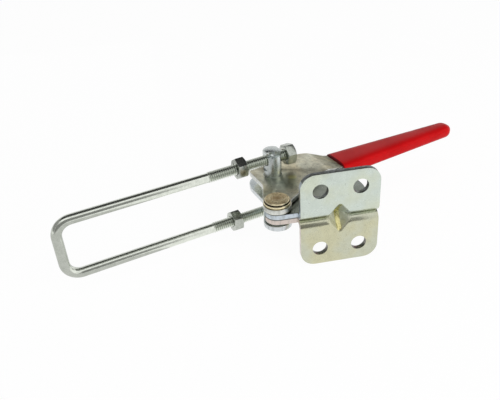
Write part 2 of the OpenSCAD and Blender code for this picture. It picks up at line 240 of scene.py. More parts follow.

# %% [markdown]
# ## Zinc on sheet steel
# Bright zinc is never one grey. The passivation bath leaves cool and straw-coloured patches, most
# straw where the bath collects: in the fold. The rolled sheet keeps a fine speckle, and handling
# adds hairline scratches. A photograph of zinc could be wrapped round the plates, but a procedural
# finish works at any scale: large soft noise chooses the tint, small noise makes the speckle,
# stretched noise makes the scratches, and masks stored on the mesh brighten the broken edges with
# rubbed zinc and a painted highlight, leave the sheared sides streaky, and put painted shade on the
# hole walls, the flange rims and the sheared sides at the joints between parts. A dart is pressed
# across each fold to stiffen it. Its flanks are made duller than the rest, because a full mirror
# there would only show the dark side of the studio.

# %% Zinc sizes and tones
FOLD_RADIUS = 4.9 * MM
DART_REACH = 9.2 * MM
DART_FLOOR = 1.7 * MM
DART_HALF = 7 * MM
WEB_TOP = 3 * MM
BASE_JOINT = 0
LEVER_JOINT = 3.5 * MM
PATCH_GRAIN, CLOUD_GRAIN, SPECK_GRAIN, PIT_GRAIN = 17 * MM, 4 * MM, 0.6 * MM, 1.6 * MM
HAIRLINE_GRAIN, TEAR_GRAIN, PEEL_GRAIN, WAVE_GRAIN = 3.2 * MM, 1.5 * MM, 0.7 * MM, 6 * MM
HAIRLINE_ANGLE = math.radians(24)
ZINC_RELIEF = 0.025 * MM
STRAW_FOLD, STRAW_DART = tone(214, 216, 196), tone(240, 230, 160)
PIT_TONE, SCRATCH_TONE, TEAR_TONE = tone(88, 84, 72), tone(232, 232, 222), tone(132, 136, 134)
CUT_SHADE, EDGE_WEAR_AND_HIGHLIGHT, SHADE_TONE = tone(84, 86, 80), tone(240, 241, 236), tone(58, 60, 50)


# %% Zinc sheet
def fold_and_dart(zinc):
    """Masks of the fold between web and flange, and of the dart's floor and flanks across it."""
    across = zinc.part_of_place("X").maths("ABSOLUTE")
    depth = zinc.part_of_place("Y")
    height = zinc.part_of_place("Z").maths("ABSOLUTE")
    low = 1 - height.step(0.3 * FOLD_RADIUS, 0.75 * FOLD_RADIUS)
    fold = low * (1 - depth.step(0.6 * FOLD_RADIUS, FOLD_RADIUS))
    in_reach = 1 - (depth + height).step(DART_REACH, 1.1 * DART_REACH)
    sunk = depth.step(0.3 * MM, 0.9 * MM) * in_reach
    floor = (1 - across.step(0.5 * DART_FLOOR, 1.1 * DART_FLOOR)) * sunk
    flanks = (1 - across.step(0.7 * DART_HALF, 1.1 * DART_HALF)) * sunk * (1 - floor)
    return fold * (1 - flanks), floor, flanks


def zinc_sheet(name, cool, warm, shade, roughness, speckled, straw, sheared, joints):
    """Zinc with a cool and a warm tint, a shade of speckle, a tint of sheared sides, and painted
    shade on the sheared sides at each joint height.
    """
    zinc = Finish(name)
    scratched = zinc.turned((0, 0, HAIRLINE_ANGLE), (1, 9, 9))
    torn = zinc.turned((0, 0, 0), (1, 1, 0.25))
    patches = zinc.noise(PATCH_GRAIN, 3).step(0.38, 0.64)
    cloud = zinc.noise(CLOUD_GRAIN, 4, 0.6).step(0.3, 0.75)
    speckle = zinc.noise(SPECK_GRAIN, 3, 0.7).step(0.5, 0.72)
    pits = zinc.noise(PIT_GRAIN, 4, 0.65).step(0.6, 0.68)
    hairlines = zinc.noise(HAIRLINE_GRAIN, 3, 0.7, scratched).step(0.62, 0.74)
    tears = zinc.noise(TEAR_GRAIN, 3, 0.6, torn).step(0.45, 0.65)
    fold, dart, flanks = fold_and_dart(zinc)
    edge = zinc.mask("broken_edge")
    cut = zinc.mask("cut_face")
    tint = zinc.blend(patches, cool, warm)
    tint = zinc.blend(fold * straw, tint, STRAW_FOLD)
    tint = zinc.blend(dart * straw * 2, tint, STRAW_DART)
    tint = zinc.blend(speckle * (speckled + fold * 0.5) + cloud * speckled * 0.6, tint, shade)
    tint = zinc.blend(pits * speckled, tint, PIT_TONE)
    tint = zinc.blend(hairlines * speckled * 0.7, tint, SCRATCH_TONE)
    tint = zinc.blend(cut * 0.85, tint, zinc.blend(tears * 0.35, sheared, TEAR_TONE))
    # Painted shade on the walls of the bolt holes and the flange's outer rim.
    tint = zinc.blend(zinc.mask("shaded_cut") * (0.95 - tears * 0.3), tint, CUT_SHADE)
    # Broken edges: rubbed bright zinc, with a painted highlight on top.
    tint = zinc.blend(edge * 0.6, tint, EDGE_WEAR_AND_HIGHLIGHT)
    # Painted shade: the sheared sides darken at each joint between stacked parts.
    for joint in joints:
        away = (zinc.part_of_place("Z") - joint).maths("ABSOLUTE")
        tint = zinc.blend(cut * (0.8 - 0.8 * away.step(0.1 * MM, 0.5 * MM)), tint, SHADE_TONE)
    duller = cloud * 0.06 + speckle * 0.08 + cut * 0.08
    brighter = edge * 0.14 + hairlines * 0.08
    zinc.drive(Base_Color=tint, Metallic=1 - flanks * 0.75, Roughness=roughness + duller - brighter)
    peel = zinc.noise(PEEL_GRAIN, 3, 0.65) * 0.5 + zinc.noise(WAVE_GRAIN, 1)
    zinc.relief(peel - hairlines * 0.15 + tears * cut * 0.5, ZINC_RELIEF)
    return zinc


def shaded_web_top(zinc):
    """Darkens the top of the web behind the flange with painted shade."""
    off_top = (zinc.part_of_place("Z") - WEB_TOP).maths("ABSOLUTE")
    behind = zinc.part_of_place("Y").step(4 * MM, 6 * MM)
    web_shade = behind * (0.6 - 0.6 * off_top.step(0.05 * MM, 0.2 * MM))
    zinc.drive(Base_Color=zinc.blend(web_shade, zinc.linked("Base Color"), SHADE_TONE))
    return zinc.material


# %% Base finishes
zinc_upper = shaded_web_top(zinc_sheet(
    "zinc_upper", cool=tone(211, 221, 212), warm=tone(214, 221, 202), shade=tone(168, 176, 168),
    roughness=0.26, speckled=0.22, straw=0.15, sheared=tone(206, 216, 228),
    joints=[BASE_JOINT, LEVER_JOINT]))
zinc_lower = zinc_sheet(
    "zinc_lower", cool=tone(203, 206, 186), warm=tone(208, 206, 174), shade=tone(158, 158, 138),
    roughness=0.22, speckled=0.28, straw=0.45, sheared=tone(222, 208, 203),
    joints=[BASE_JOINT, -LEVER_JOINT]).material
print("base finishes:", zinc_upper.name, zinc_lower.name)

# %% [markdown]
# ## Zinc that was handled
# The lever plates come out of the same bath, and then they are used: the end next to the grip is
# rubbed dull. Round a spot beside the trunnion the zinc is darkened as painted shade, and one spot
# right of the pin gets a painted yellow reflection. Each mark is a distance from a spot or along
# the grip, so the plates need no image texture. Only the upper plate shows enough of itself to need
# them.

# %% Zinc lever
PIVOT = Vector((-31, 13, 0)) * MM
TRUNNION = Vector((-26.4, 45.7, 0)) * MM
SHADE_SPOT = Vector((-22.4, 39, 6.7)) * MM
YELLOW_GLINT_SPOT = Vector((-16.6, 38.5, 6.7)) * MM
GRIP_ROOT = PIVOT + Vector((42.9, 54.1, 0)) * MM
GRIP_ANGLE = math.radians(15.5)
GRIP_DIRECTION = Vector((math.cos(GRIP_ANGLE), math.sin(GRIP_ANGLE), 0))
SPOT_SHADE_TONE, YELLOW_GLINT_TONE = tone(124, 142, 134), tone(246, 242, 176)


def shaded_used_lever(zinc):
    """Adds painted shade round a spot beside the trunnion, a painted yellow reflection and a dull
    end at the grip to a lever plate.
    """
    # Painted shade round a spot beside the trunnion, broken up by noise.
    spot_shade = 0.5 - 0.5 * zinc.distance_to(SHADE_SPOT).step(3 * MM, 16 * MM)
    ragged = zinc.noise(5 * MM, 3, 0.6)
    # Painted reflection: a small yellow glint right of the pin.
    straw = 0.7 - 0.7 * zinc.distance_to(YELLOW_GLINT_SPOT).step(1 * MM, 3.5 * MM)
    dull = zinc.along(GRIP_ROOT, GRIP_DIRECTION).step(-13 * MM, -7 * MM)
    spot_shaded = zinc.blend(spot_shade * (0.4 + ragged * 1.2), zinc.linked("Base Color"), SPOT_SHADE_TONE)
    zinc.drive(Base_Color=zinc.blend(straw, spot_shaded, YELLOW_GLINT_TONE),
               Roughness=zinc.linked("Roughness") + dull * 0.4)
    return zinc.material


zinc_lever = shaded_used_lever(zinc_sheet(
    "zinc_lever", cool=tone(224, 224, 204), warm=tone(228, 219, 186), shade=tone(122, 116, 98),
    roughness=0.29, speckled=0.65, straw=0, sheared=tone(228, 231, 228), joints=[LEVER_JOINT]))
zinc_lever_low = zinc_sheet(
    "zinc_lever_low", cool=tone(200, 212, 218), warm=tone(206, 212, 212), shade=tone(150, 162, 168),
    roughness=0.24, speckled=0.3, straw=0, sheared=tone(222, 226, 228),
    joints=[-LEVER_JOINT]).material
print("lever finishes:", zinc_lever.name, zinc_lever_low.name)

# %% [markdown]
# ## Drawn rod, turned pin and pressed nuts
# The rod is drawn, so its fine lines run along it. The pin is turned, so its lines run round
# it. The nuts are cold pressed and tumbled, which leaves them darker and mottled. One function
# makes all three: the direction in which the noise is stretched, the tones and the roughness
# change. The relief is a few thousandths of a millimetre, or the lines would look hammered.
# The thread stores how deep each point lies in a groove, and the finish paints shade there.


# %% Machined steel
LOOP_ANGLE = math.radians(180 + 17.6)
LOOP_DIRECTION = Vector((math.cos(LOOP_ANGLE), math.sin(LOOP_ANGLE), 0))
MOTTLE_GRAIN, STEEL_SPECK_GRAIN = 2.5 * MM, 0.5 * MM
STEEL_SPECK, STEEL_EDGE_WEAR_AND_HIGHLIGHT, GROOVE_SHADE = tone(120, 122, 116), tone(247, 248, 244), tone(132, 140, 130)
STEEL_RELIEF = 0.0025 * MM


def worked_steel(name, bright, dull, roughness, grain, stretch, mottled):
    steel = Finish(name, Metallic=1.0)
    lines = steel.noise(grain, 4, 0.65, steel.turned((0, 0, LOOP_ANGLE), stretch)).step(0.35, 0.7)
    mottle = steel.noise(MOTTLE_GRAIN, 4, 0.6).step(0.35, 0.7)
    speckle = steel.noise(STEEL_SPECK_GRAIN, 2, 0.6).step(0.6, 0.75)
    edge = steel.mask("broken_edge")
    tint = steel.blend(lines * 0.35 + mottle * mottled, bright, dull)
    tint = steel.blend(speckle * mottled, tint, STEEL_SPECK)
    # Broken edges: rubbed bright steel, with a painted highlight on top.
    tint = steel.blend(edge * 0.8, tint, STEEL_EDGE_WEAR_AND_HIGHLIGHT)
    # Painted shade in the roots of the thread.
    tint = steel.blend(steel.mask("groove").step(0.5, 0.9) * 0.7, tint, GROOVE_SHADE)
    steel.drive(Base_Color=tint, Roughness=roughness + lines * 0.06 + mottle * 0.05 - edge * 0.06)
    steel.relief(lines * 0.6 + speckle * 0.4, STEEL_RELIEF)
    return steel.material


rod_steel = worked_steel("rod_steel", tone(234, 238, 228), tone(192, 198, 186),
                         roughness=0.13, grain=2 * MM, stretch=(1, 14, 14), mottled=0.3)
pin_steel = worked_steel("pin_steel", tone(218, 224, 222), tone(190, 198, 198),
                         roughness=0.22, grain=2 * MM, stretch=(12, 12, 1), mottled=0.12)
nut_steel = worked_steel("nut_steel", tone(192, 196, 188), tone(152, 157, 148),
                         roughness=0.16, grain=1.2 * MM, stretch=(1, 1, 1), mottled=0.25)
print("steel finishes:", rod_steel.name, pin_steel.name, nut_steel.name)

# %% [markdown]
# ## Yellow passivated rivet and red vinyl
# The rivet was bathed in yellow chromate and its face then rubbed, so the face is brown with dark
# specks round a darker middle, while its rim and the washer under it stay golden. The joints below
# the head and below the washer get dark bands of painted shade. The grip was dipped in warm vinyl:
# a satin skin whose gloss changes slowly, with hardly any texture of its own, and its lip is
# darkened as painted shade.

# %% Rivet and vinyl
RIVET_TOP = 9.75 * MM
RIVET_FACE = 6.2 * MM
SHADED_JOINT_HEIGHTS = (8.52 * MM, 6.72 * MM)


def rivet_bronze():
    bronze = Finish("rivet_bronze", Metallic=1.0)
    from_centre = bronze.distance_to((PIVOT.x, PIVOT.y, RIVET_TOP))
    speckle = bronze.noise(0.8 * MM, 3, 0.7).step(0.46, 0.64)
    grains = bronze.noise(2.2 * MM, 3, 0.6).step(0.42, 0.62)
    middle = 1 - from_centre.step(0.15 * RIVET_FACE, 0.55 * RIVET_FACE)
    face = 1 - from_centre.step(RIVET_FACE, 1.06 * RIVET_FACE)
    worn = bronze.blend(grains * 0.7, tone(250, 234, 192), tone(210, 184, 134))
    worn = bronze.blend(speckle * 0.6, worn, tone(114, 90, 58))
    worn = bronze.blend(middle * 0.5, worn, tone(150, 108, 60))
    golden = bronze.blend(speckle * 0.3, tone(250, 238, 200), tone(182, 160, 116))
    tint = bronze.blend(face, golden, worn)
    # Painted shade: dark bands at the joint under the head and under the washer.
    for joint in SHADED_JOINT_HEIGHTS:
        away = (bronze.part_of_place("Z") - joint).maths("ABSOLUTE")
        tint = bronze.blend(1 - away.step(0.1 * MM, 0.34 * MM), tint, tone(46, 36, 24))
    bronze.drive(Base_Color=tint, Roughness=0.26 + face * 0.12 + speckle * face * 0.1)
    bronze.relief(speckle * 0.6 + grains * 0.4, 0.015 * MM)
    return bronze.material


def red_vinyl():
    """Vinyl with painted shade at the grip's lip."""
    vinyl = Finish("red_vinyl", Specular_IOR_Level=0.12)
    drift = vinyl.noise(16 * MM, 2).step(0.35, 0.65)
    skin = vinyl.noise(1.6 * MM, 3, 0.55)
    specks = vinyl.noise(0.8 * MM, 2, 0.5).step(0.7, 0.76)
    tint = vinyl.blend(drift, tone(218, 14, 20), tone(210, 9, 15))
    tint = vinyl.blend(specks * 0.3, tint, tone(150, 10, 18))
    # Painted shade on the lip at the mouth of the grip.
    past_lip = vinyl.along(GRIP_ROOT, GRIP_DIRECTION).step(0.7 * MM, 1.4 * MM)
    tint = vinyl.blend(1 - past_lip, tint, tone(104, 9, 15))
    vinyl.drive(Base_Color=tint, Roughness=0.3 + drift * 0.05 + skin * 0.06)
    vinyl.relief(skin * 0.4 + vinyl.noise(7 * MM, 1), 0.03 * MM)
    return vinyl.material


bronze = rivet_bronze()
vinyl = red_vinyl()
print("accents:", bronze.name, vinyl.name)

# %% [markdown]
# ## Breaking the edges of the steel pieces
# No stamped or turned piece has a knife edge: tumbling and plating leave a small radius that
# catches the light. Each solid is copied, its triangles are joined back into whole faces, and every
# edge that turns sharply is bevelled. The new strips are marked in one mesh attribute, the sheared
# sides of the sheets in another and the hole walls and flange rims in a third, so the finish can
# treat them differently: the strips are rubbed bright and get a painted highlight, and the hole
# walls and rims get painted shade. A bevel modifier could do the rounding too, but it leaves no
# such marks.
# Two kinds of piece get more than that. The pressed darts flow softly into their folds, so
# that part of each base plate is cut into small cells and relaxed. And the photograph shows
# nuts that are about a tenth larger than the solids, so they are enlarged away from the pin.

# %% Edge sizes
JOIN_DISTANCE = 1e-6
FLAT_ANGLE = math.radians(1)
SHARP_ANGLE = math.radians(28)
SMOOTH_ANGLE = math.radians(40)
FLANGE_HALF = 21.5 * MM
HOLE_X, HOLE_Z, HOLE_RADIUS = 10.8 * MM, 17.8 * MM, 4.25 * MM
SEEN_NUT_WIDTH, SOLID_NUT_WIDTH = 11.1 * MM, 10 * MM
NUT_GROWTH = SEEN_NUT_WIDTH / SOLID_NUT_WIDTH
DART_ZONE = Vector((10, 11, 12)) * MM
DART_CELL = 0.6 * MM
DART_ROUNDS = 36
FOLD_ZONE = 14 * MM
SHEET_REACH = 3.5 * MM
RIM_MARGIN = 1 * MM
# Limits for one part of a face's unit normal
OUTWARD, STEEP, FACING, UPRIGHT, SQUARE, LEVEL = 0.05, 0.3, 0.5, 0.7, 0.8, 0.95


# %% Edge helpers
def whole_faces(node):
    """A copy of a solid's mesh with its triangles joined into flat faces."""
    shape = bmesh.new()
    shape.from_mesh(frame["nodes"][node].data)
    bmesh.ops.remove_doubles(shape, verts=shape.verts, dist=JOIN_DISTANCE)
    bmesh.ops.dissolve_limit(shape, angle_limit=FLAT_ANGLE, verts=shape.verts, edges=shape.edges)
    return shape


def clean_mesh(name, shape, marks):
    """A mesh with the shape's faces alone, and one number a face for each mark."""
    shape.verts.index_update()
    corners = [vert.co.copy() for vert in shape.verts]
    faces = [[vert.index for vert in face.verts] for face in shape.faces]
    mesh = bpy.data.meshes.new(name)
    mesh.from_pydata(corners, [], faces)
    for mark, values in marks.items():
        mesh.attributes.new(mark, "FLOAT", "FACE").data.foreach_set("value", values)
    mesh.polygons.foreach_set("use_smooth", [True] * len(faces))
    mesh.set_sharp_from_angle(angle=SMOOTH_ANGLE)
    return mesh


def added_piece(name, mesh, node, material):
    """Puts a finished mesh in place of a solid, on the solid's own body."""
    piece = bpy.data.objects.new(name, mesh)
    bpy.context.collection.objects.link(piece)
    piece.data.materials.clear()
    piece.data.materials.append(material)
    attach(piece, body_of[node])
    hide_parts(node)
    return piece


def is_cut(node, face):
    """True on the sheared side of a sheet: neither its broad faces nor its fold."""
    normal = face.normal
    if node.startswith("lever_plate"):
        return abs(normal.z) < UPRIGHT
    if node.startswith("base_plate"):
        centre = face.calc_center_median()
        within_flange = abs(centre.x) < FLANGE_HALF - RIM_MARGIN and abs(normal.x) < SQUARE
        near_fold = within_flange and centre.y < FOLD_ZONE and abs(centre.z) < FOLD_ZONE
        on_web = abs(normal.z) > LEVEL and abs(centre.z) < SHEET_REACH
        on_flange = abs(normal.y) > LEVEL and centre.y < SHEET_REACH
        return not (near_fold or on_web or on_flange)
    return False


def is_shaded_cut(node, face):
    """True on the walls of the bolt holes and a flange's outer rim, which the finish darkens as
    painted shade.
    """
    if not node.startswith("base_plate") or abs(face.normal.y) >= STEEP:
        return False
    centre = face.calc_center_median()
    off_hole = math.hypot(abs(centre.x) - HOLE_X, abs(centre.z) - HOLE_Z)
    on_rim = abs(face.normal.z) > FACING and abs(centre.z) > HOLE_Z + HOLE_RADIUS
    return on_rim or off_hole < 1.1 * HOLE_RADIUS


def cut_across(shape, faces, axis, place):
    """Cuts faces along a plane that stands at a place on one axis."""
    normal = Vector([float(axis == index) for index in range(3)])
    region = list({item for face in faces for item in (face, *face.edges, *face.verts)})
    bmesh.ops.bisect_plane(shape, geom=region, plane_co=normal * place, plane_no=normal,
                           dist=JOIN_DISTANCE)


def ease_dart(shape, side):
    """Lets the pressed dart flow into the fold: cuts that region into cells and relaxes them."""
    def near(face):
        centre = face.calc_center_median()
        return all(abs(centre[axis]) < DART_ZONE[axis] for axis in range(3))

    for axis in range(3):
        for place in (-DART_ZONE[axis], DART_ZONE[axis]):
            cut_across(shape, shape.faces[:], axis, place)
    for axis in range(3):
        cells = round(DART_ZONE[axis] / DART_CELL)
        for cell in range(1 - cells, cells):
            region = [face for face in shape.faces if near(face)]
            cut_across(shape, region, axis, cell * DART_CELL)
    outwards = Vector((0, -1, -side))
    loose = [vert for vert in shape.verts if abs(vert.co.z) > JOIN_DISTANCE
             and all(near(face) and face.normal.dot(outwards) > OUTWARD
                     for face in vert.link_faces)]
    for _ in range(DART_ROUNDS):
        bmesh.ops.smooth_vert(shape, verts=loose, factor=0.5,
                              use_axis_x=True, use_axis_y=True, use_axis_z=True)


def enlarge_nut(shape):
    """Enlarges a nut about the face that it turns to the pin, so that it still clears the pin."""
    middle = sum((vert.co for vert in shape.verts), Vector()) / len(shape.verts)
    from_pin = [(vert.co - TRUNNION).dot(LOOP_DIRECTION) for vert in shape.verts]
    nearest = min(from_pin, key=abs)
    seat = middle + LOOP_DIRECTION * (nearest - (middle - TRUNNION).dot(LOOP_DIRECTION))
    bmesh.ops.scale(shape, vec=[NUT_GROWTH] * 3, space=Matrix.Translation(-seat),
                    verts=shape.verts)


def softened(node, width, steps, material):
    """Puts a copy with broken edges and marked faces in place of a steel solid."""
    shape = whole_faces(node)
    if "nut" in node:
        enlarge_nut(shape)
    if node.startswith("base_plate"):
        ease_dart(shape, 1 if node.endswith("upper") else -1)
    sharp = [edge for edge in shape.edges
             if edge.is_manifold and edge.calc_face_angle() > SHARP_ANGLE]
    made = bmesh.ops.bevel(shape, geom=sharp, offset=width, offset_type="OFFSET", segments=steps,
                           profile=0.5, affect="EDGES", clamp_overlap=True)
    strips = set(made["faces"])
    marks = {"broken_edge": [float(face in strips) for face in shape.faces],
             "cut_face": [float(is_cut(node, face)) for face in shape.faces],
             "shaded_cut": [float(is_shaded_cut(node, face)) for face in shape.faces]}
    mesh = clean_mesh(node + "_edged", shape, marks)
    shape.free()
    return added_piece(node + "_edged", mesh, node, material)


bodies = frame["record"]["behaviour"]["bodies"]
body_of = {node: body for body, nodes in bodies.items() for node in nodes}
print("bodies:", ", ".join(sorted(set(body_of.values()))))

# %% Edged steel pieces
EDGED = [("base_plate_upper", 0.35, 3, "zinc_steel", zinc_upper),
         ("base_plate_lower", 0.35, 3, "zinc_steel", zinc_lower),
         ("lever_plate_upper", 0.3, 3, "zinc_steel", zinc_lever),
         ("lever_plate_lower", 0.3, 3, "zinc_steel", zinc_lever_low),
         ("trunnion_pin", 0.2, 2, "pin_steel", pin_steel),
         ("pivot_rivet", 0.13, 3, "rivet_bronze", bronze),
         ("head_washer", 0.35, 3, "rivet_bronze", bronze),
         ("front_nut_upper", 0.3, 2, "nut_steel", nut_steel),
         ("front_nut_lower", 0.3, 2, "nut_steel", nut_steel),
         ("rear_nut_upper", 0.3, 2, "nut_steel", nut_steel),
         ("rear_nut_lower", 0.3, 2, "nut_steel", nut_steel)]
for node, width, steps, slot, material in EDGED:
    piece = softened(node, width * MM, steps, material)
    print(f"{piece.name}: {len(piece.data.polygons)} faces")
for node in ("pivot_washer_upper", "pivot_washer_lower"):
    frame["nodes"][node].data.materials.clear()
    frame["nodes"][node].data.materials.append(nut_steel)

# %% [markdown]
# ## The U-bolt and its rolled thread
# The U-bolt is one drawn rod bent twice, with a thread rolled on both legs. A thread follows
# a simple rule: at every point of the leg, the turn and the distance along it say how deep
# the groove is there. So Geometry Nodes roll a flat grid round the leg, push each point in
# or out by that rule, put a copy on each leg and sweep a circle round the bends. A Screw
# modifier would make the ridge alone, and its ends would still have to fade by hand.

# %% U-bolt sizes
LEG_PITCH = 33.2 * MM
LOOP_LENGTH = 124.9 * MM
LOOP_BEND = 8.5 * MM
ROD_RADIUS = 2.75 * MM
THREAD = {"pitch": 1.27 * MM, "crest_radius": 3.15 * MM, "root_radius": 2.4 * MM,
          "tail": -14 * MM, "reach": 41 * MM, "chamfer": 0.5 * MM, "fade": 0.8 * MM}
CREST_SHARE, ROOT_SHARE = 1 / 8, 1 / 4
ROWS_PER_TURN = 12
COLUMNS = 40
BEND_STEPS = 16


# %% Tree helper
class Tree(Graph):
    """A Geometry Nodes tree under construction, with named inputs for its sizes."""

    def __init__(self, name, **kinds):
        super().__init__(bpy.data.node_groups.new(name, "GeometryNodeTree"))
        sockets = self.tree.interface
        sockets.new_socket("Geometry", in_out="OUTPUT", socket_type="NodeSocketGeometry")
        self.identifiers = {}
        for size, kind in kinds.items():
            made = sockets.new_socket(size, in_out="INPUT", socket_type="NodeSocket" + kind)
            self.identifiers[size] = made.identifier
        self.entry = self.tree.nodes.new("NodeGroupInput")

    def given(self, size):
        return Wire(self, self.entry.outputs[size])

    def close(self, geometry, material):
        """Ends the tree in real geometry with its material."""
        real = self.node("GeometryNodeRealizeInstances", {}, {"Geometry": geometry})
        dressed = self.node("GeometryNodeSetMaterial", {},
                            {"Geometry": real, "Material": material})
        self.feed(self.tree.nodes.new("NodeGroupOutput").inputs[0], dressed)


def grown(name, tree, sizes, start):
    """Runs a tree on an object and returns what it made as a plain mesh."""
    seed = bpy.data.objects.new(name, start)
    bpy.context.collection.objects.link(seed)
    modifier = seed.modifiers.new(name, "NODES")
    modifier.node_group = tree.tree
    for size, value in sizes.items():
        modifier[tree.identifiers[size]] = value
    ready = seed.evaluated_get(bpy.context.evaluated_depsgraph_get())
    mesh = bpy.data.meshes.new_from_object(ready)
    seed.modifiers.remove(modifier)
    bpy.data.objects.remove(seed)
    return mesh


print("tree helper ready")


# %% U-bolt tree
def threaded_leg(tree):
    """A leg along X, rolled up from a grid whose rows run along it and columns round it."""
    tail, reach, pitch = tree.given("tail"), tree.given("reach"), tree.given("pitch")
    crest, root = tree.given("crest_radius"), tree.given("root_radius")
    length = reach - tail
    rows = (length / pitch * ROWS_PER_TURN).maths("ROUND") + 1
    grid = tree.node("GeometryNodeMeshGrid", {}, {
        "Size X": length, "Size Y": 1, "Vertices X": rows, "Vertices Y": COLUMNS + 1})
    spot = tree.node("GeometryNodeInputPosition", {}, {})
    along = tree.node("ShaderNodeSeparateXYZ", {}, {0: spot}, "X") + length * 0.5 + tail
    turns = tree.node("ShaderNodeSeparateXYZ", {}, {0: spot}, "Y")
    phase = (along / pitch - turns).maths("FRACT")
    to_root = (phase * 2 - 1).maths("ABSOLUTE")
    climb = (to_root - ROOT_SHARE) / (1 - ROOT_SHARE - CREST_SHARE)
    flank = climb.maths("MAXIMUM", 0).maths("MINIMUM", 1)
    runout = ((reach - along) / tree.given("fade")).maths("MINIMUM", 1)
    from_end = (along - tail).maths("MINIMUM", reach - along)
    ridged = root + (crest - root) * (1 - (1 - flank) * runout)
    ended = ridged.maths("MINIMUM", crest - tree.given("chamfer") + from_end)
    radius = ended * from_end.maths("GREATER_THAN", pitch / (2 * ROWS_PER_TURN))
    angle = turns * math.tau
    rolled_up = tree.node("ShaderNodeCombineXYZ", {}, {
        "X": along, "Y": radius * angle.maths("COSINE"), "Z": radius * angle.maths("SINE")})
    marked = tree.node("GeometryNodeStoreNamedAttribute", {}, {
        "Geometry": grid, "Name": "groove", "Value": (1 - flank) * runout})
    shaped = tree.node("GeometryNodeSetPosition", {}, {"Geometry": marked, "Position": rolled_up})
    return tree.node("GeometryNodeMergeByDistance", {},
                     {"Geometry": shaped, "Distance": JOIN_DISTANCE})


def u_bolt_tree():
    """Two threaded legs and the bent rod between them."""
    sizes = [*THREAD, "rod_radius", "bend_radius", "leg_pitch", "heading"]
    numbers = dict.fromkeys(sizes, "Float")
    tree = Tree("u_bolt_tree", path="Geometry", **numbers, pivot="Vector", steel="Material")
    bent = tree.node("GeometryNodeFilletCurve", {"mode": "POLY"}, {
        "Curve": tree.given("path"), "Count": BEND_STEPS, "Radius": tree.given("bend_radius")})
    section = tree.node("GeometryNodeCurvePrimitiveCircle", {"mode": "RADIUS"}, {
        "Resolution": COLUMNS, "Radius": tree.given("rod_radius")})
    rod = tree.node("GeometryNodeCurveToMesh", {}, {
        "Curve": bent, "Profile Curve": section, "Fill Caps": True})
    pitch = tree.given("leg_pitch")
    low = tree.node("ShaderNodeVectorMath", {"operation": "SUBTRACT"}, {
        0: tree.given("pivot"), 1: tree.node("ShaderNodeCombineXYZ", {}, {"Z": pitch * 0.5})})
    legs = tree.node("GeometryNodeMeshLine", {"mode": "OFFSET"}, {
        "Count": 2, "Start Location": low,
        "Offset": tree.node("ShaderNodeCombineXYZ", {}, {"Z": pitch})})
    threads = tree.node("GeometryNodeInstanceOnPoints", {}, {
        "Points": legs, "Instance": threaded_leg(tree),
        "Rotation": tree.node("ShaderNodeCombineXYZ", {}, {"Z": tree.given("heading")})})
    joined = tree.node("GeometryNodeJoinGeometry", {}, {"Geometry": [rod, threads]})
    tree.close(joined, tree.given("steel"))
    return tree


def loop_path(points):
    """A curve of straight stretches through the points."""
    path = bpy.data.curves.new("u_bolt_path", "CURVE")
    path.dimensions = "3D"
    spline = path.splines.new("POLY")
    spline.points.add(len(points) - 1)
    for point, place in zip(spline.points, points):
        point.co = (*place, 1)
    return path


# %% U-bolt
aside = Vector((0, 0, LEG_PITCH / 2))
rod_start = TRUNNION + LOOP_DIRECTION * (THREAD["reach"] - THREAD["fade"])
rod_end = TRUNNION + LOOP_DIRECTION * LOOP_LENGTH
path = loop_path([rod_start + aside, rod_end + aside, rod_end - aside, rod_start - aside])
sizes = {**THREAD, "rod_radius": ROD_RADIUS, "bend_radius": LOOP_BEND, "leg_pitch": LEG_PITCH,
         "heading": LOOP_ANGLE, "pivot": TRUNNION, "steel": rod_steel}
rolled = grown("u_bolt_rolled", u_bolt_tree(), sizes, path)


def outward_faces(mesh, smooth_angle):
    """Points every face outwards and shades the mesh smoothly up to an angle."""
    shape = bmesh.new()
    shape.from_mesh(mesh)
    bmesh.ops.recalc_face_normals(shape, faces=shape.faces)
    shape.to_mesh(mesh)
    shape.free()
    mesh.polygons.foreach_set("use_smooth", [True] * len(mesh.polygons))
    mesh.set_sharp_from_angle(angle=smooth_angle)


outward_faces(rolled, SMOOTH_ANGLE)
added_piece("u_bolt_rolled", rolled, "u_bolt", rod_steel)
print(f"u_bolt_rolled: {len(rolled.polygons)} faces")

# %% [markdown]
# ## The dipped grip
# Dipping leaves a soft skin that ends in a rolled lip. The grip is lofted from rounded
# sections: its depth tapers evenly towards the tip, as the bar inside does, and each section
# is rounder than the one before, because the skin fills the corners of a narrow bar.
# Subdividing a box would also work, but then its depth at each place could no longer be
# read from one formula.

# %% Grip sizes
GRIP_LENGTH = 93.9 * MM
GRIP_ROOT_DEPTH, GRIP_TIP_DEPTH = 20.3 * MM, 11.1 * MM
GRIP_TIP = 6 * MM
GRIP_HALF_T = 4.5 * MM
GRIP_INSET = 0.05 * MM
ROOT_POWER, TIP_POWER = 4, 2.5
SKIN = 1.44 * MM
LIP_ROUNDING = 1.2 * MM
MOUTH_DEPTH = 1 * MM
RING_POINTS = 64
GRIP_ROWS = 40
LIP_DEGREES, TIP_DEGREES = 15, 6
VINYL_SMOOTH_ANGLE = math.radians(70)


# %% Grip
def grip_depth(along):
    return GRIP_ROOT_DEPTH + (GRIP_TIP_DEPTH - GRIP_ROOT_DEPTH) * along / GRIP_LENGTH


